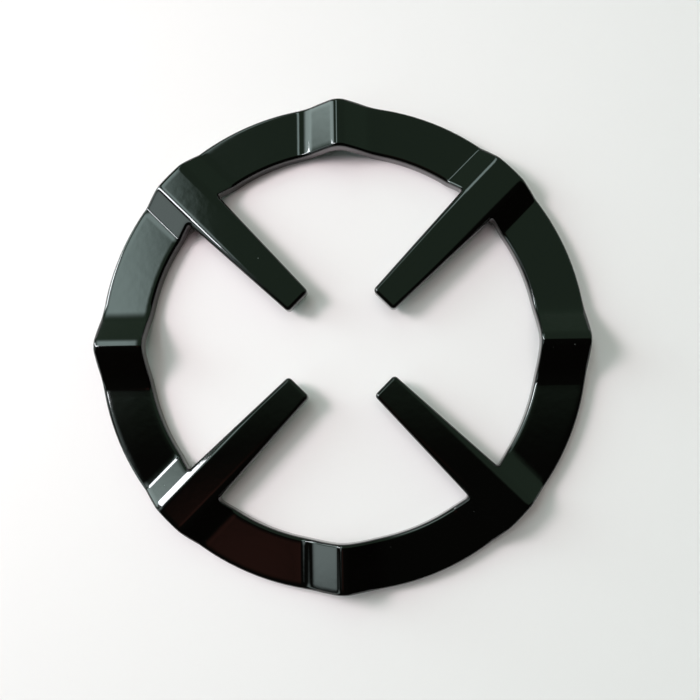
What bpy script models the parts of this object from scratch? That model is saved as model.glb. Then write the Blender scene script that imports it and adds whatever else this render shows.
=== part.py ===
"""Gas hob reducer ring.

One sheet of steel, pressed and then enamelled black all over. A flat round band
carries eight raised ridges. The four high ridges lie across the band on the X and
Y axes, and the fingers of a hob grate enter the notches below them. The four lower
ridges lie on the diagonals and run on inwards as straight, flat-topped, tapered
arms, which carry a small pot. Every edge of the band and of the arms is turned down
as a rim.

The ring stands on its rim at z = 0 with its middle on the Z axis. Its outer skin is
modelled on one eighth, from the middle line of an arm to the middle line of a high
ridge, and is mirrored three times before the sheet gets its thickness.
"""

import math

import bmesh
import bpy
from mathutils import Vector

MM = 0.001

# Sheet: steel with its enamel on both faces
SHEET_THICKNESS = 0.8 * MM

# Round band
OUTER_RADIUS = 72.5 * MM
BAND_WIDTH = 14.5 * MM

# Arms: widths go across the rims, and the root is at the band's inner edge
TIP_TO_CENTRE = 17.7 * MM
ARM_TIP_WIDTH = 8.5 * MM
ARM_ROOT_WIDTH = 12.2 * MM
ARM_CORNER_RADIUS = 0.3 * MM
JUNCTION_FILLET = 1.0 * MM

# Turned-down rim along every edge
RIM_DEPTH = 5.0 * MM
RIM_INSIDE_BEND = 0.2 * MM

# High ridges: the half width is at the foot, where the band is flat again
HIGH_RIDGE_RISE = 7.8 * MM
HIGH_RIDGE_HALF = 13.2 * MM
HIGH_RIDGE_CREST_RADIUS = 3.4 * MM
HIGH_RIDGE_FOOT_RADIUS = 8.0 * MM

# Arm ridges: a flat land along the crest becomes the flat top of the arm
ARM_RIDGE_RISE = 4.3 * MM
ARM_RIDGE_HALF = 13.8 * MM
ARM_RIDGE_CREST_RADIUS = 4.5 * MM
ARM_RIDGE_FOOT_RADIUS = 8.0 * MM
ARM_LAND_WIDTH = 7.2 * MM

# Sizes that follow from the ones above
INNER_RADIUS = OUTER_RADIUS - BAND_WIDTH
BEND_RADIUS = RIM_INSIDE_BEND + SHEET_THICKNESS
FLAT_INNER_RADIUS = INNER_RADIUS + BEND_RADIUS
FLAT_OUTER_RADIUS = OUTER_RADIUS - BEND_RADIUS
ARM_TAPER = math.atan2((ARM_ROOT_WIDTH - ARM_TIP_WIDTH) / 2, INNER_RADIUS - TIP_TO_CENTRE)
RIDGE_PITCH = math.radians(45)

# Facets along each curve
CREST_STEPS = 3
FOOT_STEPS = 3
FLANK_STEPS = 3
FLAT_STEPS = 6
BEND_STEPS = 3
CORNER_STEPS = 4
FILLET_STEPS = 4
ARM_ROWS = 5

# Where an arm is narrower than the land, its outer columns start at this share of its half width
SHOULDER_SHARE = 0.8

# Meeting halves lie closer than this and become one
MERGE_DISTANCE = 0.01 * MM

ENAMEL_COLOUR = (0.010, 0.012, 0.011, 1.0)
ENAMEL_ROUGHNESS = 0.12


class Ridge:
    """Cross-section of a pressed ridge: two flanks under a round crest or a flat land, with round feet."""

    def __init__(self, rise, crest_radius, foot_radius, land=0.0):
        self.rise = rise
        self.crest_radius = crest_radius
        self.foot_radius = foot_radius
        self.land = land

    def _flank(self, half):
        """Slope angle, length and both radii for a ridge whose foot is at half."""
        reach = half - self.land
        radii = self.crest_radius + self.foot_radius
        limit = min(1.0, (reach ** 2 + self.rise ** 2) / (2 * self.rise * radii))
        crest = self.crest_radius * limit
        foot = self.foot_radius * limit
        radii = crest + foot
        length = math.sqrt(max(0.0, reach ** 2 + self.rise ** 2 - 2 * self.rise * radii))
        slope = math.atan2(self.rise - radii, reach) + math.atan2(radii, length)
        return slope, length, crest, foot

    def height(self, offset, half):
        """Height of the skin above the flat band, at offset from the middle line."""
        slope, length, crest, foot = self._flank(half)
        reach = max(0.0, abs(offset) - self.land)
        crest_end = crest * math.sin(slope)
        flank_end = crest_end + length * math.cos(slope)
        foot_end = half - self.land
        if reach <= crest_end:
            return self.rise - crest + math.sqrt(crest ** 2 - reach ** 2)
        if reach <= flank_end:
            crest_drop = crest * (1 - math.cos(slope))
            return self.rise - crest_drop - (reach - crest_end) * math.tan(slope)
        if reach < foot_end:
            return foot - math.sqrt(foot ** 2 - (foot_end - reach) ** 2)
        return 0.0

    def crest_stations(self, half, steps):
        """Offsets of the facets round the crest, from the edge of the land."""
        slope, _, crest, _ = self._flank(half)
        return [self.land + crest * math.sin(slope * k / steps) for k in range(1, steps + 1)]

    def flank_stations(self, half, steps):
        """Offsets of the facets down the flank."""
        slope, length, crest, _ = self._flank(half)
        start = self.land + crest * math.sin(slope)
        return [start + length * math.cos(slope) * k / steps for k in range(1, steps + 1)]

    def foot_stations(self, half, steps):
        """Offsets of the facets round the foot, the last one on the flat band."""
        slope, _, _, foot = self._flank(half)
        return [half - foot * math.sin(slope * (1 - k / steps)) for k in range(1, steps + 1)]


HIGH_RIDGE = Ridge(HIGH_RIDGE_RISE, HIGH_RIDGE_CREST_RADIUS, HIGH_RIDGE_FOOT_RADIUS)
ARM_RIDGE = Ridge(ARM_RIDGE_RISE, ARM_RIDGE_CREST_RADIUS, ARM_RIDGE_FOOT_RADIUS, ARM_LAND_WIDTH / 2)


def skin_height(point):
    """Height of the skin above the flat band, set by the nearest ridge.

    A plan point is (s, u): s along the arm from the ring's middle, u across it.
    """
    radius = point.length
    angle = math.atan2(point.y, point.x)
    if angle < RIDGE_PITCH / 2:
        return ARM_RIDGE.height(point.y, ARM_RIDGE_HALF)
    return HIGH_RIDGE.height(radius * math.sin(RIDGE_PITCH - angle), HIGH_RIDGE_HALF)


def direction(angle):
    """Unit vector in the plan."""
    return Vector((math.cos(angle), math.sin(angle)))


def flat_half_width(along):
    """Half width of an arm's top between the bends of its two rims."""
    edge = ARM_TIP_WIDTH / 2 + (along - TIP_TO_CENTRE) * math.tan(ARM_TAPER)
    return edge - BEND_RADIUS / math.cos(ARM_TAPER)


def arc(centre, radius, start, end, steps):
    """Points and plan angles along a round corner."""
    angles = [start + (end - start) * k / steps for k in range(steps + 1)]
    return [(centre + direction(angle) * radius, angle) for angle in angles]


def tip_corner():
    """Edge of the arm's top round one corner of its tip, as points and rim directions."""
    along = TIP_TO_CENTRE + BEND_RADIUS + ARM_CORNER_RADIUS
    across = flat_half_width(along) - ARM_CORNER_RADIUS / math.cos(ARM_TAPER)
    return arc(Vector((along, across)), ARM_CORNER_RADIUS, math.pi, math.pi / 2 + ARM_TAPER, CORNER_STEPS)


def junction_fillet():
    """Edge of the top where an arm runs into the band, as points and rim directions.

    The fillet's centre is in the window, as far from the arm's edge as from the band's.
    """
    side = math.pi / 2 + ARM_TAPER
    start = Vector((TIP_TO_CENTRE, ARM_TIP_WIDTH / 2)) + direction(side) * JUNCTION_FILLET
    run = direction(ARM_TAPER)
    reach = INNER_RADIUS - JUNCTION_FILLET
    ahead = start.dot(run)
    centre = start + run * (math.sqrt(ahead ** 2 + reach ** 2 - start.length_squared) - ahead)
    end = math.pi + math.atan2(centre.y, centre.x)
    radius = JUNCTION_FILLET + BEND_RADIUS
    return [(2 * centre - point, angle) for point, angle in arc(centre, radius, side, end, FILLET_STEPS)]


def arm_columns(along):
    """Offsets of the arm's columns inside its edge, at one place along it."""
    half = flat_half_width(along)
    shoulder = min(ARM_RIDGE.land, SHOULDER_SHARE * half)
    steps = CREST_STEPS + 1
    return [0.0] + [shoulder + (half - shoulder) * k / steps for k in range(steps)]


def band_angles(radius, beyond):
    """Angles of the band's columns from the foot of the arm's flank on, at one radius.

    Columns that fall short of the angle beyond are left empty, as None.
    """
    arm_side = ARM_RIDGE.flank_stations(ARM_RIDGE_HALF, 1)
    arm_side += ARM_RIDGE.foot_stations(ARM_RIDGE_HALF, FOOT_STEPS)
    foot = [math.asin(u / radius) for u in arm_side]
    stations = HIGH_RIDGE.crest_stations(HIGH_RIDGE_HALF, CREST_STEPS)
    stations += HIGH_RIDGE.flank_stations(HIGH_RIDGE_HALF, 1)
    stations += HIGH_RIDGE.foot_stations(HIGH_RIDGE_HALF, FOOT_STEPS)
    high = [RIDGE_PITCH - math.asin(u / radius) for u in reversed(stations)]
    flat = [foot[-1] + (high[0] - foot[-1]) * k / FLAT_STEPS for k in range(1, FLAT_STEPS)]
    angles = foot + flat + high + [RIDGE_PITCH]
    return [angle if angle > beyond else None for angle in angles]


class SkinPatch:
    """Outer skin of one eighth of the ring, open at its two mirror planes."""

    def __init__(self):
        self.mesh = bmesh.new()

    def vertex(self, point, drop=0.0):
        """Add the skin's point at a plan point, some way below the top of the sheet."""
        along = direction(RIDGE_PITCH)
        across = direction(RIDGE_PITCH - math.pi / 2)
        plan = along * point.x + across * point.y
        height = RIM_DEPTH + skin_height(point) - drop
        return self.mesh.verts.new((plan.x, plan.y, height))

    def strip(self, near, far):
        """Fill between two rows of vertices: their order and the way to the far row set the outside."""
        for k in range(len(near) - 1):
            self.mesh.faces.new((near[k], near[k + 1], far[k + 1], far[k]))

    def rim(self, top, edge, outwards):
        """Turn the edge down: a quarter bend and then the straight rim.

        edge holds the plan point and the outward angle below each vertex of top.
        """
        turns = [math.pi / 2 * k / BEND_STEPS for k in range(1, BEND_STEPS + 1)]
        rings = [(BEND_RADIUS * math.sin(t), BEND_RADIUS * (1 - math.cos(t))) for t in turns]
        rings.append((BEND_RADIUS, RIM_DEPTH))
        row = top
        for reach, drop in rings:
            below = [self.vertex(point + direction(angle) * reach, drop) for point, angle in edge]
            if outwards:
                self.strip(row, below)
            else:
                self.strip(below, row)
            row = below

    def arm(self, corner, fillet):
        """Top of the arm. Returns the vertices of its edge and those of its root row."""
        tip_along = TIP_TO_CENTRE + BEND_RADIUS
        corner_across = corner[0][0].y
        shoulder = min(ARM_RIDGE.land, SHOULDER_SHARE * corner_across)
        spread = (corner_across - shoulder) / CREST_STEPS
        tip_across = [0.0] + [shoulder + spread * k for k in range(CREST_STEPS + 1)]
        tip_points = [Vector((tip_along, u)) for u in tip_across]
        tip_row = [self.vertex(point) for point in tip_points]
        round_tip = [self.vertex(point) for point, _ in corner[1:]]
        edge_points = [(point, math.pi) for point in tip_points[:-1]] + corner
        edge = tip_row + round_tip

        start = corner[-1][0].x
        end = fillet[0][0].x
        side = corner[-1][1]
        straight = [start + (end - start) * k / ARM_ROWS for k in range(1, ARM_ROWS)]
        sides = [(Vector((s, flat_half_width(s))), side) for s in straight]
        middle = FILLET_STEPS // 2
        outline = [corner[-1]] + sides + fillet[:middle]
        previous = None
        for point, angle in outline:
            inside = [Vector((point.x, u)) for u in arm_columns(point.x)]
            last = round_tip[-1] if previous is None else self.vertex(point)
            row = [self.vertex(p) for p in inside] + [last]
            if previous is None:
                self.strip(tip_row, row[:-1])
                self.mesh.faces.new([tip_row[-1]] + round_tip + [row[-2]])
            else:
                self.strip(previous, row)
                edge.append(last)
                edge_points.append((point, angle))
            previous = row

        root_across = arm_columns(FLAT_INNER_RADIUS)
        root = [Vector((math.sqrt(FLAT_INNER_RADIUS ** 2 - u ** 2), u)) for u in root_across]
        root_row = [self.vertex(point) for point in root + [fillet[middle][0]]]
        self.strip(previous, root_row)
        edge.append(root_row[-1])
        edge_points.append(fillet[middle])
        return edge, edge_points, root_row

    def build(self):
        """Make the whole patch and return its mesh."""
        fillet = junction_fillet()
        edge, edge_points, inner_row = self.arm(tip_corner(), fillet)

        last = fillet[-1][0]
        past_fillet = math.atan2(last.y, last.x)
        inner_angles = band_angles(FLAT_INNER_RADIUS, past_fillet)
        outer_angles = band_angles(FLAT_OUTER_RADIUS, 0.0)
        kept = [pair for pair in zip(inner_angles, outer_angles) if None not in pair]

        rest = fillet[FILLET_STEPS // 2 + 1:]
        rest += [(direction(angle) * FLAT_INNER_RADIUS, math.pi + angle) for angle, _ in kept]
        rest_row = [self.vertex(point) for point, _ in rest]
        inner_row += rest_row
        edge += rest_row
        edge_points += rest

        # The foot of the arm's flank is already among the columns kept for the band
        arm_side = [0.0, ARM_RIDGE.land]
        arm_side += ARM_RIDGE.crest_stations(ARM_RIDGE_HALF, CREST_STEPS)
        arm_side += ARM_RIDGE.flank_stations(ARM_RIDGE_HALF, FLANK_STEPS + 1)[:-1]
        outer_angles = [math.asin(u / FLAT_OUTER_RADIUS) for u in arm_side] + [angle for _, angle in kept]
        outer_points = [(direction(angle) * FLAT_OUTER_RADIUS, angle) for angle in outer_angles]
        outer_row = [self.vertex(point) for point, _ in outer_points]
        self.strip(inner_row, outer_row)

        self.rim(edge, edge_points, outwards=False)
        self.rim(outer_row, outer_points, outwards=True)
        return self.mesh


def enamel_material():
    """Glossy black vitreous enamel."""
    material = bpy.data.materials.new("black_enamel")
    material.use_nodes = True
    shader = material.node_tree.nodes["Principled BSDF"]
    shader.inputs["Base Color"].default_value = ENAMEL_COLOUR
    shader.inputs["Roughness"].default_value = ENAMEL_ROUGHNESS
    shader.inputs["Metallic"].default_value = 0.0
    return material


def reducer_ring(collection):
    """The whole ring: the skin of one eighth, mirrored three times and given its thickness."""
    patch = SkinPatch().build()
    mesh = bpy.data.meshes.new("reducer_ring")
    patch.to_mesh(mesh)
    patch.free()
    mesh.shade_smooth()
    mesh.materials.append(enamel_material())
    ring = bpy.data.objects.new("reducer_ring", mesh)
    collection.objects.link(ring)

    arm_line = bpy.data.objects.new("arm_line", None)
    arm_line.rotation_euler.z = RIDGE_PITCH
    arm_line.empty_display_size = OUTER_RADIUS
    collection.objects.link(arm_line)

    across_arm = ring.modifiers.new("across_arm", "MIRROR")
    across_arm.mirror_object = arm_line
    across_arm.use_axis = (False, True, False)
    across_arm.merge_threshold = MERGE_DISTANCE

    across_axes = ring.modifiers.new("across_axes", "MIRROR")
    across_axes.use_axis = (True, True, False)
    across_axes.merge_threshold = MERGE_DISTANCE

    sheet = ring.modifiers.new("sheet", "SOLIDIFY")
    sheet.thickness = SHEET_THICKNESS
    sheet.offset = -1.0
    sheet.use_even_offset = True
    return ring


def main():
    """Clear the scene and model the ring in a collection of its own."""
    for leftover in list(bpy.data.objects):
        bpy.data.objects.remove(leftover, do_unlink=True)
    collection = bpy.data.collections.new("gas_hob_reducer_ring")
    bpy.context.scene.collection.children.link(collection)
    reducer_ring(collection)


main()
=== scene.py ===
"""Looks of the gas hob reducer ring.

The ring is one pressing of sheet steel under black vitreous enamel. It is drawn
here as a fine skin, because the fired enamel mirrors its surroundings and shows
every facet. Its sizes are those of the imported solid, apart from the feet of the
arm ridges, which are tighter here. Lengths are in metres.
"""

import logging
import math
from dataclasses import dataclass, field
from enum import Enum

import bmesh
import bpy
import numpy as np
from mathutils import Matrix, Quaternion, Vector


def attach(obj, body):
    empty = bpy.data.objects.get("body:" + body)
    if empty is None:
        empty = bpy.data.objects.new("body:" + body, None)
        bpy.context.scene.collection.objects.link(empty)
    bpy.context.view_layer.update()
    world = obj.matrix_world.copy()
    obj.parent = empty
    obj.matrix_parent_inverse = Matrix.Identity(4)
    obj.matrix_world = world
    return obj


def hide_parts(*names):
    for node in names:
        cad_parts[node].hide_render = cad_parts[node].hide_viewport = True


MM = 0.001
NODE = "reducer_ring"
SLOT = "black_enamel"
SRGB_KNEE = 0.04045

log = logging.getLogger("reducer_ring")

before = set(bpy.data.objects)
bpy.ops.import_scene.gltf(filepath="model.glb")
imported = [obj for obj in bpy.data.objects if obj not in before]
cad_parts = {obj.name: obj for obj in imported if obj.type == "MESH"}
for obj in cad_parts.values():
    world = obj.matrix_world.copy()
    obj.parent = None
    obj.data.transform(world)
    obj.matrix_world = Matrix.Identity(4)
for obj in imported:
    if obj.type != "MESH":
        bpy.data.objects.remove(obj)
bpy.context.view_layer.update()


class Edge(Enum):
    """The two edges of the sheet that are turned down."""

    WINDOW = "window"
    OUTER = "outer"


class Reach(Enum):
    """What a studio light acts on: matt surfaces, or mirroring ones."""

    MATT = "matt"
    GLOSS = "gloss"


def linear(code: str) -> tuple[float, float, float, float]:
    """Turns an sRGB colour into the linear one that shaders take.

    Args:
        code: six hex digits, red, green and blue.

    Returns:
        Linear red, green, blue and an alpha of 1.
    """
    srgb = np.array([int(code[k:k + 2], 16) for k in (0, 2, 4)]) / 255
    channels = np.where(srgb <= SRGB_KNEE, srgb / 12.92, ((srgb + 0.055) / 1.055) ** 2.4)
    return (*(float(channel) for channel in channels), 1.0)


def add_node(
    tree: bpy.types.NodeTree,
    kind: str,
    settings: dict[str, object] | None = None,
    inputs: dict[str | int, object] | None = None,
) -> bpy.types.Node:
    """Adds one node with its settings, its input values and its links.

    Args:
        tree: the node tree that it goes in.
        kind: the node's type name.
        settings: properties of the node, by name.
        inputs: for each input, a value or the output socket that feeds it.

    Returns:
        The new node.
    """
    node = tree.nodes.new(kind)
    for name, value in (settings or {}).items():
        setattr(node, name, value)
    for name, value in (inputs or {}).items():
        if isinstance(value, bpy.types.NodeSocket):
            tree.links.new(value, node.inputs[name])
        else:
            node.inputs[name].default_value = value
    return node


@dataclass(frozen=True)
class EnamelFinish:
    """Black vitreous enamel: glass fused to the steel at about 800 degrees.

    It gives the eye a deep black under a hard wet gloss. The glass flowed as it
    was fired, so mirrored edges waver a little, and a few specks lie in it.
    """

    colour: str = "040504"
    speck_colour: str = "7d8683"
    ior: float = 1.52
    roughness: tuple[float, float] = (0.04, 0.09)
    cloud_spacing: float = 20.0 * MM
    cloud_range: tuple[float, float] = (0.35, 0.7)
    flow_spacing: float = 2.4 * MM
    flow_depth: float = 0.010 * MM
    flow_roughness: float = 0.4
    speck_spacing: float = 7.0 * MM
    speck_radius: float = 0.16 * MM
    speck_core: float = 0.4

    def build(self) -> bpy.types.Material:
        """Builds the material.

        Returns:
            The material, with a pattern in object coordinates.
        """
        material = bpy.data.materials.new(SLOT)
        material.use_nodes = True
        tree = material.node_tree
        tree.nodes.clear()
        place = add_node(tree, "ShaderNodeTexCoord").outputs["Object"]

        cloud = add_node(
            tree, "ShaderNodeTexNoise",
            inputs={"Vector": place, "Scale": 1.0 / self.cloud_spacing, "Detail": 3.0},
        )
        rough = add_node(
            tree, "ShaderNodeMapRange",
            inputs={"Value": cloud.outputs["Fac"],
                    "From Min": self.cloud_range[0], "From Max": self.cloud_range[1],
                    "To Min": self.roughness[0], "To Max": self.roughness[1]},
        )
        flow = add_node(
            tree, "ShaderNodeTexNoise",
            inputs={"Vector": place, "Scale": 1.0 / self.flow_spacing, "Detail": 2.0,
                    "Roughness": self.flow_roughness},
        )
        relief = add_node(
            tree, "ShaderNodeBump",
            inputs={"Height": flow.outputs["Fac"], "Strength": 1.0, "Distance": self.flow_depth},
        )
        cells = add_node(
            tree, "ShaderNodeTexVoronoi",
            inputs={"Vector": place, "Scale": 1.0 / self.speck_spacing, "Randomness": 1.0},
        )
        size = self.speck_radius / self.speck_spacing
        speck = add_node(
            tree, "ShaderNodeMapRange",
            inputs={"Value": cells.outputs["Distance"],
                    "From Min": self.speck_core * size, "From Max": size,
                    "To Min": 1.0, "To Max": 0.0},
        )
        colour = add_node(
            tree, "ShaderNodeMix", {"data_type": "RGBA"},
            {"Factor": speck.outputs["Result"],
             6: linear(self.colour), 7: linear(self.speck_colour)},
        )
        glass = add_node(
            tree, "ShaderNodeBsdfPrincipled",
            inputs={"Base Color": colour.outputs[2], "Roughness": rough.outputs["Result"],
                    "Normal": relief.outputs["Normal"], "IOR": self.ior, "Metallic": 0.0},
        )
        add_node(tree, "ShaderNodeOutputMaterial", inputs={"Surface": glass.outputs["BSDF"]})
        return material


@dataclass(frozen=True)
class FloorFinish:
    """Matt white laminate, the plain pale ground that the ring lies on."""

    colour: str = "f1f1f2"
    roughness: float = 0.7
    grain: float = 0.8 * MM
    grain_depth: float = 0.01 * MM

    def build(self) -> bpy.types.Material:
        """Builds the material.

        Returns:
            The material, with a very fine grain.
        """
        material = bpy.data.materials.new("matt_laminate")
        material.use_nodes = True
        tree = material.node_tree
        tree.nodes.clear()
        place = add_node(tree, "ShaderNodeTexCoord").outputs["Object"]
        grain = add_node(
            tree, "ShaderNodeTexNoise", inputs={"Vector": place, "Scale": 1.0 / self.grain})
        relief = add_node(
            tree, "ShaderNodeBump",
            inputs={"Height": grain.outputs["Fac"], "Distance": self.grain_depth},
        )
        shader = add_node(
            tree, "ShaderNodeBsdfPrincipled",
            inputs={"Base Color": linear(self.colour), "Roughness": self.roughness,
                    "Normal": relief.outputs["Normal"]},
        )
        add_node(tree, "ShaderNodeOutputMaterial", inputs={"Surface": shader.outputs["BSDF"]})
        return material


@dataclass(frozen=True)
class RidgeForm:
    """Cross-section of a pressed ridge: a V upside down with a round crest and feet."""

    rise: float
    half: float
    crest_radius: float
    foot_radius: float
    land: float = 0.0

    def height(self, offset: np.ndarray) -> np.ndarray:
        """Height above the flat band.

        The section is a crest arc, a straight flank and a foot arc that meet
        without a corner. With the foot at reach from the land's edge and radii
        that add up to R, the flank's length is the root of reach squared plus
        rise squared less twice rise times R, and its slope is the sum of the
        angles of (reach, rise - R) and of (length, R).

        Args:
            offset: distance from the ridge's middle line.

        Returns:
            Height at each offset, 0 beyond the foot.
        """
        reach = self.half - self.land
        radii = self.crest_radius + self.foot_radius
        length = math.sqrt(reach ** 2 + self.rise ** 2 - 2 * self.rise * radii)
        slope = math.atan2(self.rise - radii, reach) + math.atan2(radii, length)
        at = np.clip(np.abs(offset) - self.land, 0.0, reach)
        crest_end = self.crest_radius * math.sin(slope)
        flank_end = crest_end + length * math.cos(slope)
        crest = self.rise - self.crest_radius + np.sqrt(
            self.crest_radius ** 2 - np.minimum(at, crest_end) ** 2)
        flank_start = self.rise - self.crest_radius * (1 - math.cos(slope))
        flank = flank_start - (at - crest_end) * math.tan(slope)
        to_foot = np.minimum(reach - at, reach - flank_end)
        foot = self.foot_radius - np.sqrt(self.foot_radius ** 2 - to_foot ** 2)
        return np.where(at <= crest_end, crest, np.where(at <= flank_end, flank, foot))


@dataclass
class Skin:
    """A mesh that grows by whole grids of points."""

    points: list[np.ndarray] = field(default_factory=list)
    faces: list[np.ndarray] = field(default_factory=list)
    count: int = 0

    def add_grid(self, grid: np.ndarray, flipped: bool = False) -> None:
        """Adds a grid and the quads between its points.

        Args:
            grid: points in rows and columns, shape (rows, columns, 3).
            flipped: turns the quads over.
        """
        rows, columns = grid.shape[:2]
        index = self.count + np.arange(rows * columns).reshape(rows, columns)
        quads = np.stack(
            [index[:-1, :-1], index[:-1, 1:], index[1:, 1:], index[1:, :-1]], axis=-1)
        quads = quads.reshape(-1, 4)
        self.faces.append(quads[:, ::-1] if flipped else quads)
        self.points.append(grid.reshape(-1, 3))
        self.count += rows * columns

    def to_object(self, name: str, merge: float) -> bpy.types.Object:
        """Makes the mesh and closes its seams.

        Args:
            name: name of the object and of its mesh.
            merge: points closer than this become one.

        Returns:
            The object, at the origin.
        """
        mesh = bpy.data.meshes.new(name)
        mesh.from_pydata(np.concatenate(self.points), [], np.concatenate(self.faces))
        welded = bmesh.new()
        welded.from_mesh(mesh)
        bmesh.ops.remove_doubles(welded, verts=welded.verts, dist=merge)
        welded.to_mesh(mesh)
        welded.free()
        mesh.shade_smooth()
        piece = bpy.data.objects.new(name, mesh)
        bpy.context.scene.collection.objects.link(piece)
        return piece


@dataclass
class PressedRing:
    """The reducer ring, with the sizes of its solid apart from the arm ridges' feet.

    The plan is worked out on one eighth, in the arm's own coordinates: s runs
    along the arm from the ring's middle and u across it towards a high ridge.
    """

    outer_radius: float = 72.5 * MM
    band_width: float = 14.5 * MM
    sheet: float = 0.8 * MM
    tip_to_centre: float = 17.7 * MM
    arm_tip_width: float = 8.5 * MM
    arm_root_width: float = 12.2 * MM
    corner_radius: float = 0.3 * MM
    junction_fillet: float = 1.0 * MM
    rim_depth: float = 5.0 * MM
    bend_radius: float = 1.0 * MM
    lip_rounding: float = 0.24 * MM
    high_ridge: RidgeForm = RidgeForm(
        rise=7.8 * MM, half=13.2 * MM, crest_radius=3.4 * MM, foot_radius=8.0 * MM)
    arm_ridge: RidgeForm = RidgeForm(
        rise=4.3 * MM, half=11.72 * MM, crest_radius=4.5 * MM, foot_radius=1.2 * MM,
        land=3.6 * MM)
    pitch: float = math.pi / 4
    finish: EnamelFinish = EnamelFinish()

    bend_steps: int = 9
    rim_steps: int = 3
    band_rows: int = 11
    arm_rows: int = 56
    corner_steps: int = 5
    fillet_steps: int = 9
    ridge_steps: int = 36
    flat_steps: int = 12
    lip_segments: int = 3
    lip_angle_degrees: float = 60.0
    merge: float = 0.001 * MM

    def __post_init__(self) -> None:
        """Works out the sizes that follow from the others."""
        self.inner_radius = self.outer_radius - self.band_width
        self.flat_inner = self.inner_radius + self.bend_radius
        self.flat_outer = self.outer_radius - self.bend_radius
        spread = (self.arm_root_width - self.arm_tip_width) / 2
        self.taper = math.atan2(spread, self.inner_radius - self.tip_to_centre)

    def height(self, plan: np.ndarray) -> np.ndarray:
        """Height of the skin above the flat band.

        Each point takes its height from the nearest ridge: within half a pitch
        of the arm's line from the arm's, by u, and past that from the high one's,
        by the distance to its line.

        Args:
            plan: points (s, u), shape (..., 2).

        Returns:
            Heights, shape (...).
        """
        radius = np.hypot(plan[..., 0], plan[..., 1])
        angle = np.arctan2(plan[..., 1], plan[..., 0])
        high = self.high_ridge.height(radius * np.sin(self.pitch - angle))
        arm = self.arm_ridge.height(plan[..., 1])
        return np.where(angle < self.pitch / 2, arm, high)

    def lift(self, plan: np.ndarray, drop: np.ndarray) -> np.ndarray:
        """Puts plan points on the skin.

        Args:
            plan: points (s, u), shape (..., 2).
            drop: how far each is below the top of the sheet, shape (...).

        Returns:
            Points with s, u and z, shape (..., 3).
        """
        z = self.rim_depth + self.height(plan) - drop
        return np.concatenate([plan, z[..., None]], axis=-1)

    def flat_half(self, along: np.ndarray | float) -> np.ndarray | float:
        """Half width of the arm's top between the bends of its rims, at s = along."""
        edge = self.arm_tip_width / 2 + (along - self.tip_to_centre) * math.tan(self.taper)
        return edge - self.bend_radius / math.cos(self.taper)

    @staticmethod
    def around(angles: np.ndarray) -> np.ndarray:
        """Unit vectors at the angles, shape (n, 2)."""
        return np.stack([np.cos(angles), np.sin(angles)], axis=-1)

    def tip_corner(self) -> tuple[np.ndarray, np.ndarray]:
        """Round corner of the tip: a small arc, from facing the middle to facing the side.

        Returns:
            Its points and the angle that the rim faces at each.
        """
        along = self.tip_to_centre + self.bend_radius + self.corner_radius
        across = self.flat_half(along) - self.corner_radius / math.cos(self.taper)
        faces = np.linspace(math.pi, math.pi / 2 + self.taper, 2 * self.corner_steps + 1)
        return np.array([along, across]) + self.around(faces) * self.corner_radius, faces

    def junction(self) -> tuple[np.ndarray, np.ndarray]:
        """Fillet between arm and band: an arc about a centre in the window.

        The centre is one fillet radius from the arm's edge and from the band's, so
        it is where a line beside the arm meets a circle inside the band.

        Returns:
            Its points and the angle that the rim faces at each.
        """
        side = math.pi / 2 + self.taper
        start = np.array([self.tip_to_centre, self.arm_tip_width / 2])
        start = start + np.array([math.cos(side), math.sin(side)]) * self.junction_fillet
        run = np.array([math.cos(self.taper), math.sin(self.taper)])
        reach = self.inner_radius - self.junction_fillet
        ahead = float(start @ run)
        centre = start + run * (math.sqrt(ahead ** 2 + reach ** 2 - float(start @ start)) - ahead)
        towards_middle = math.pi + math.atan2(centre[1], centre[0])
        faces = np.linspace(side, towards_middle, 2 * self.fillet_steps + 1)
        return centre - self.around(faces) * (self.junction_fillet + self.bend_radius), faces

    def arm_top(self) -> tuple[np.ndarray, np.ndarray, np.ndarray]:
        """Top of the arm, as a Coons patch.

        The patch blends its four edges: the tip with half its corner, the side
        with half the fillet, the root on the band's circle, and the middle line.
        A point is the blend of the two long edges plus that of the two short ones,
        less the blend of the four corners.

        Returns:
            The plan grid, and the points and facing angles of its free edge.
        """
        corner, corner_faces = self.tip_corner()
        fillet, fillet_faces = self.junction()
        share = np.linspace(0.0, 1.0, self.corner_steps * 2, endpoint=False)[:, None]
        tip_line = share * [[0.0, corner[0, 1]]] + [[corner[0, 0], 0.0]]
        tip = np.concatenate([tip_line, corner[:self.corner_steps + 1]])

        along = np.linspace(corner[-1, 0], fillet[0, 0], self.arm_rows)[1:-1]
        straight = np.stack([along, self.flat_half(along)], axis=-1)
        side = np.concatenate(
            [corner[self.corner_steps:], straight, fillet[:self.fillet_steps + 1]])

        end = fillet[self.fillet_steps]
        across = tip[:, 1] / tip[-1, 1] * end[1]
        pull = (across / end[1]) ** 2 * (self.flat_inner - math.hypot(end[0], end[1]))
        root = np.stack([np.sqrt((self.flat_inner - pull) ** 2 - across ** 2), across], axis=-1)

        way = (side[:, 0] - side[0, 0]) / (side[-1, 0] - side[0, 0])
        middle_along = tip[0, 0] + (root[0, 0] - tip[0, 0]) * way
        middle = np.stack([middle_along, np.zeros_like(way)], axis=-1)

        t = (tip[:, 1] / tip[-1, 1])[None, :, None]
        r = way[:, None, None]
        long_edges = middle[:, None] * (1 - t) + side[:, None] * t
        short_edges = tip[None] * (1 - r) + root[None] * r
        tip_corners = tip[0] * (1 - t) + tip[-1] * t
        root_corners = root[0] * (1 - t) + root[-1] * t
        grid = long_edges + short_edges - (tip_corners * (1 - r) + root_corners * r)

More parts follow.
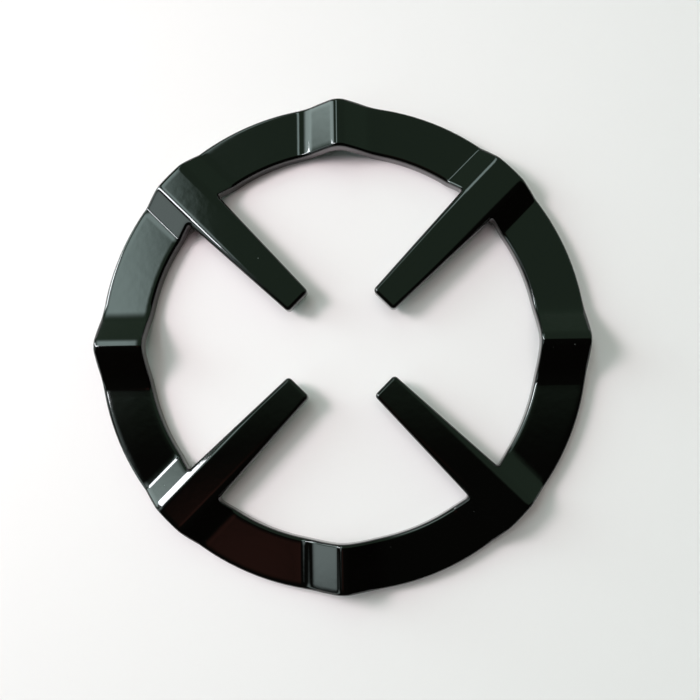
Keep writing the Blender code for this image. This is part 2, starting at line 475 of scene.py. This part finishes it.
        edge = np.concatenate([tip, side[1:]])
        faces = np.concatenate([
            np.full(len(tip_line), math.pi),
            corner_faces,
            np.full(len(along), corner_faces[-1]),
            fillet_faces[:self.fillet_steps + 1],
        ])
        return grid, edge, faces

    def band_top(self, root: np.ndarray) -> tuple[np.ndarray, np.ndarray, np.ndarray]:
        """Top of the band, ruled between its inner and its outer edge.

        Near a ridge the columns run beside its middle line, so the sine of their
        angle to it falls as the radius grows. Between the feet they turn from one
        ridge's line to the next by a smooth step.

        Args:
            root: plan points of the arm's root row.

        Returns:
            The plan grid, and the points and facing angles of its inner free edge.
        """
        fillet, fillet_faces = self.junction()
        start = math.atan2(fillet[-1, 1], fillet[-1, 0])
        arm_foot = math.asin(self.arm_ridge.half / self.flat_inner)
        high_foot = self.pitch - math.asin(self.high_ridge.half / self.flat_inner)
        near_arm = np.linspace(start, arm_foot, self.ridge_steps // 3, endpoint=False)[1:]
        flat = np.linspace(arm_foot, high_foot, self.flat_steps, endpoint=False)
        near_high = np.linspace(high_foot, self.pitch, self.ridge_steps + 1)
        angles = np.concatenate([near_arm, flat, near_high])
        free = np.concatenate([fillet[self.fillet_steps:], self.around(angles) * self.flat_inner])
        faces = np.concatenate([fillet_faces[self.fillet_steps:], math.pi + angles])

        inner = np.concatenate([root[:-1], free])
        radius = np.hypot(inner[:, 0], inner[:, 1])
        angle = np.arctan2(inner[:, 1], inner[:, 0])
        beside_arm = np.arcsin(np.sin(angle) * radius / self.flat_outer)
        beside_high = self.pitch - np.arcsin(
            np.sin(self.pitch - angle) * radius / self.flat_outer)
        step = np.clip((angle - arm_foot) / (high_foot - arm_foot), 0.0, 1.0)
        step = step * step * (3 - 2 * step)
        outer = self.around(beside_arm * (1 - step) + beside_high * step) * self.flat_outer
        across = np.linspace(0.0, 1.0, self.band_rows + 1)[:, None, None]
        return inner[None] * (1 - across) + outer[None] * across, free, faces

    def rim(self, edge: np.ndarray, faces: np.ndarray) -> np.ndarray:
        """Turned-down rim: a quarter circle and then straight down.

        At turn t the bend has gone out by the bend radius times the sine of t and
        down by the radius less its cosine. The lower edge is one rim depth below
        the sheet's top there, so it follows the ridges.

        Args:
            edge: plan points where the bend starts, shape (n, 2).
            faces: angle that the rim faces at each.

        Returns:
            Points in s, u and z, one row for each step down.
        """
        turn = np.linspace(0.0, math.pi / 2, self.bend_steps + 1)
        down = np.linspace(self.bend_radius, self.rim_depth, self.rim_steps + 1)[1:]
        reach = np.concatenate(
            [self.bend_radius * np.sin(turn), np.full(len(down), self.bend_radius)])
        drop = np.concatenate([self.bend_radius * (1 - np.cos(turn)), down])
        plan = edge[None] + self.around(faces)[None] * reach[:, None, None]
        return self.lift(plan, np.broadcast_to(drop[:, None], plan.shape[:-1]))

    def eighth(self) -> list[tuple[np.ndarray, bool]]:
        """Grids of one eighth, in s, u and z.

        Returns:
            Each grid, and whether its quads have to be turned over.
        """
        arm, arm_edge, arm_faces = self.arm_top()
        band, band_edge, band_faces = self.band_top(arm[-1])
        edges = {
            Edge.WINDOW: (np.concatenate([arm_edge, band_edge[1:]]),
                          np.concatenate([arm_faces, band_faces[1:]])),
            Edge.OUTER: (band[-1], np.arctan2(band[-1, :, 1], band[-1, :, 0])),
        }
        return [
            (self.lift(arm, np.zeros(arm.shape[:2])), False),
            (self.lift(band, np.zeros(band.shape[:2])), False),
            (self.rim(*edges[Edge.WINDOW]), True),
            (self.rim(*edges[Edge.OUTER]), False),
        ]

    def mesh(self) -> bpy.types.Object:
        """Turns and mirrors the eighth round the ring and gives the sheet its thickness.

        An arm lies on each diagonal. On its two sides u is measured towards the
        ridge on that side, so one of the two halves is a mirror image.

        Returns:
            The ring's object.
        """
        skin = Skin()
        turns = math.pi / 4 + math.pi / 2 * np.arange(4)
        for grid, turned in self.eighth():
            for turn in turns:
                for hand in (-1.0, 1.0):
                    along = grid[..., 0:1] * [math.cos(turn), math.sin(turn)]
                    across = grid[..., 1:2] * [-hand * math.sin(turn), hand * math.cos(turn)]
                    world = np.concatenate([along + across, grid[..., 2:]], axis=-1)
                    skin.add_grid(world, flipped=turned == (hand < 0))
        ring = skin.to_object("enamelled_ring", self.merge)

        wall = ring.modifiers.new("wall", "SOLIDIFY")
        wall.thickness = self.sheet
        wall.offset = -1.0
        wall.use_even_offset = True
        lip = ring.modifiers.new("lip", "BEVEL")
        lip.width = self.lip_rounding
        lip.segments = self.lip_segments
        lip.limit_method = "ANGLE"
        lip.angle_limit = math.radians(self.lip_angle_degrees)
        return ring

    def build(self) -> bpy.types.Object:
        """Builds and dresses the ring in place of its solid.

        Returns:
            The ring's object.
        """
        ring = self.mesh()
        ring.data.materials.append(self.finish.build())
        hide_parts(NODE)
        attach(ring, "root")
        return ring


def heading(azimuth: float, elevation: float) -> Vector:
    """Unit vector towards an azimuth, counted from +X, and an elevation, both in degrees."""
    turn, rise = math.radians(azimuth), math.radians(elevation)
    level = math.cos(rise)
    return Vector((level * math.cos(turn), level * math.sin(turn), math.sin(rise)))


@dataclass(frozen=True)
class Softbox:
    """A flat studio light that points at the ring.

    The first three numbers place it by degrees and a distance. It is turned in
    its own plane by roll, in degrees.
    """

    name: str
    azimuth: float
    elevation: float
    distance: float
    width: float
    height: float
    power: float
    colour: str = "ffffff"
    roll: float = 0.0
    reach: Reach = Reach.MATT

    def build(self) -> bpy.types.Object:
        """Makes the light.

        Returns:
            The light's object, aimed at the middle of the ring.
        """
        away = heading(self.azimuth, self.elevation)
        light = bpy.data.lights.new(self.name, "AREA")
        light.shape = "RECTANGLE"
        light.size = self.width
        light.size_y = self.height
        light.energy = self.power
        light.color = linear(self.colour)[:3]
        lamp = bpy.data.objects.new(self.name, light)
        lamp.location = away * self.distance
        aim = away.to_track_quat("Z", "Y") @ Quaternion((0, 0, 1), math.radians(self.roll))
        lamp.rotation_euler = aim.to_euler()
        lamp.visible_glossy = self.reach is Reach.GLOSS
        lamp.visible_diffuse = self.reach is Reach.MATT
        bpy.context.scene.collection.objects.link(lamp)
        return lamp


@dataclass(frozen=True)
class Patch:
    """A soft-edged bright patch of the room, on the room's dome seen in plan.

    A direction's place in the plan is its part towards +X and its part towards
    +Y, so the middle is straight up and the rim is the horizon. The patch is a
    rectangle there, turned by some degrees. Each span says where it begins,
    where it is full, where it starts to fade and where it ends.
    """

    along: tuple[float, float, float, float]
    across: tuple[float, float, float, float]
    strength: float
    colour: str = "ffffff"
    turn: float = 0.0

    def add_to(
        self,
        tree: bpy.types.NodeTree,
        way: bpy.types.NodeSocket,
        light: bpy.types.NodeSocket,
    ) -> bpy.types.NodeSocket:
        """Adds the patch to the room's light.

        The patch is the product of a smooth step up and one down along each span.

        Args:
            tree: the world's node tree.
            way: the direction that is looked in.
            light: the light so far.

        Returns:
            The light with the patch.
        """
        share = None
        for quarter, span in ((0.0, self.along), (90.0, self.across)):
            part = add_node(
                tree, "ShaderNodeVectorMath", {"operation": "DOT_PRODUCT"},
                {0: way, 1: heading(self.turn + quarter, 0.0)},
            ).outputs["Value"]
            for low, high, first in ((span[0], span[1], 0.0), (span[2], span[3], 1.0)):
                step = add_node(
                    tree, "ShaderNodeMapRange", {"interpolation_type": "SMOOTHSTEP"},
                    {"Value": part, "From Min": low, "From Max": high,
                     "To Min": first, "To Max": 1.0 - first},
                ).outputs["Result"]
                share = step if share is None else add_node(
                    tree, "ShaderNodeMath", {"operation": "MULTIPLY"}, {0: share, 1: step}
                ).outputs["Value"]
        tint = [self.strength * channel for channel in linear(self.colour)[:3]]
        added = add_node(
            tree, "ShaderNodeVectorMath", {"operation": "MULTIPLY_ADD"},
            {0: share, 1: tint, 2: light},
        )
        return added.outputs["Vector"]


@dataclass(frozen=True)
class Studio:
    """Floor, lights and the room that the enamel mirrors.

    The patches and lights were set to match the photograph's tones, and aren't
    a record of where it was taken.
    """

    floor_size: float = 16.0
    floor_finish: FloorFinish = FloorFinish()
    dark_side: tuple[float, float, float] = (0.01, 0.004, 0.004)
    dim_side: tuple[float, float, float] = (0.20, 0.32, 0.22)
    side_change: tuple[float, float] = (-0.03, 0.13)
    patches: tuple[Patch, ...] = (
        Patch((-0.38, -0.30, -0.265, -0.165), (0.04, 0.13, 0.60, 0.975), 4.2, "e4fdfb"),
        Patch((-0.985, -0.925, -0.80, -0.60), (0.05, 0.15, 0.46, 0.64), 5.2, "e6fbf9"),
        Patch((-1.10, -1.05, -0.97, -0.86), (-0.21, -0.12, 0.0, 0.08), 2.5, "e6fbf9"),
        Patch((-1.00, -0.90, -0.66, -0.55), (0.14, 0.27, 0.34, 0.46), 2.4, "e6fbf8", turn=45.0),
        Patch((-0.42, -0.34, -0.27, -0.18), (0.14, 0.27, 0.34, 0.46), 2.5, "e6fbf8", turn=45.0),
        Patch((-0.26, -0.15, -0.12, -0.02), (-0.24, -0.14, -0.12, -0.02), 0.24, "ff9a88"),
    )
    lights: tuple[Softbox, ...] = (
        Softbox("key", 162, 50, 0.6, 0.157, 0.157, 2.0, "ffeaf0"),
        Softbox("key_strip", 164, 41, 0.325, 0.045, 0.262, 1.0, "f8faff", -20.0, Reach.GLOSS),
        Softbox("fill", 90, 80, 3.6, 2.1, 2.1, 31.0, "ffe5ea"),
    )

    def room(self) -> bpy.types.World:
        """Makes the room: dark towards -Y, dim and greenish towards +Y, with bright patches.

        Returns:
            The world.
        """
        world = bpy.data.worlds.new("studio")
        world.use_nodes = True
        tree = world.node_tree
        way = add_node(tree, "ShaderNodeTexCoord").outputs["Generated"]
        ahead = add_node(tree, "ShaderNodeSeparateXYZ", inputs={"Vector": way}).outputs["Y"]
        side = add_node(
            tree, "ShaderNodeMapRange", {"interpolation_type": "SMOOTHSTEP"},
            {"Value": ahead, "From Min": self.side_change[0], "From Max": self.side_change[1]},
        )
        base = add_node(
            tree, "ShaderNodeMix", {"data_type": "VECTOR"},
            {"Factor": side.outputs["Result"], 4: self.dark_side, 5: self.dim_side},
        )
        light = base.outputs[1]
        for patch in self.patches:
            light = patch.add_to(tree, way, light)
        tree.links.new(light, tree.nodes["Background"].inputs["Color"])
        return world

    def build(self) -> None:
        """Makes the floor, the lights and the room."""
        half = self.floor_size / 2
        corners = half * np.array([[-1, -1, 0], [1, -1, 0], [1, 1, 0], [-1, 1, 0]])
        mesh = bpy.data.meshes.new("floor")
        mesh.from_pydata(corners, [], np.array([[0, 1, 2, 3]]))
        mesh.materials.append(self.floor_finish.build())
        floor = bpy.data.objects.new("floor", mesh)
        bpy.context.scene.collection.objects.link(floor)
        for light in self.lights:
            light.build()
        bpy.context.scene.world = self.room()
        bpy.context.scene.view_settings.view_transform = "Standard"


@dataclass(frozen=True)
class Viewpoint:
    """The photograph's view: from above, a little below and right of the middle."""

    position: tuple[float, float, float] = (12.93 * MM, -25.77 * MM, 300.0 * MM)
    turn_degrees: tuple[float, float, float] = (4.628, 2.091, -0.747)
    lens: float = 51.287
    sensor: float = 36.0

    def build(self) -> bpy.types.Object:
        """Makes the camera and gives it to the scene.

        Returns:
            The camera's object.
        """
        optics = bpy.data.cameras.new("photograph")
        optics.sensor_fit = "HORIZONTAL"
        optics.sensor_width = self.sensor
        optics.lens = self.lens
        optics.clip_start = 1.0 * MM
        camera = bpy.data.objects.new("photograph", optics)
        camera.location = self.position
        camera.rotation_euler = [math.radians(angle) for angle in self.turn_degrees]
        bpy.context.scene.collection.objects.link(camera)
        bpy.context.scene.camera = camera
        return camera


def main() -> None:
    """Builds the view, the studio and the ring, and logs the ring's face count."""
    logging.basicConfig(level=logging.INFO, format="%(name)s: %(message)s")
    Viewpoint().build()
    Studio().build()
    ring = PressedRing().build()
    log.info("%s: %d faces before its thickness", ring.name, len(ring.data.polygons))


if __name__ == "__main__":
    main()
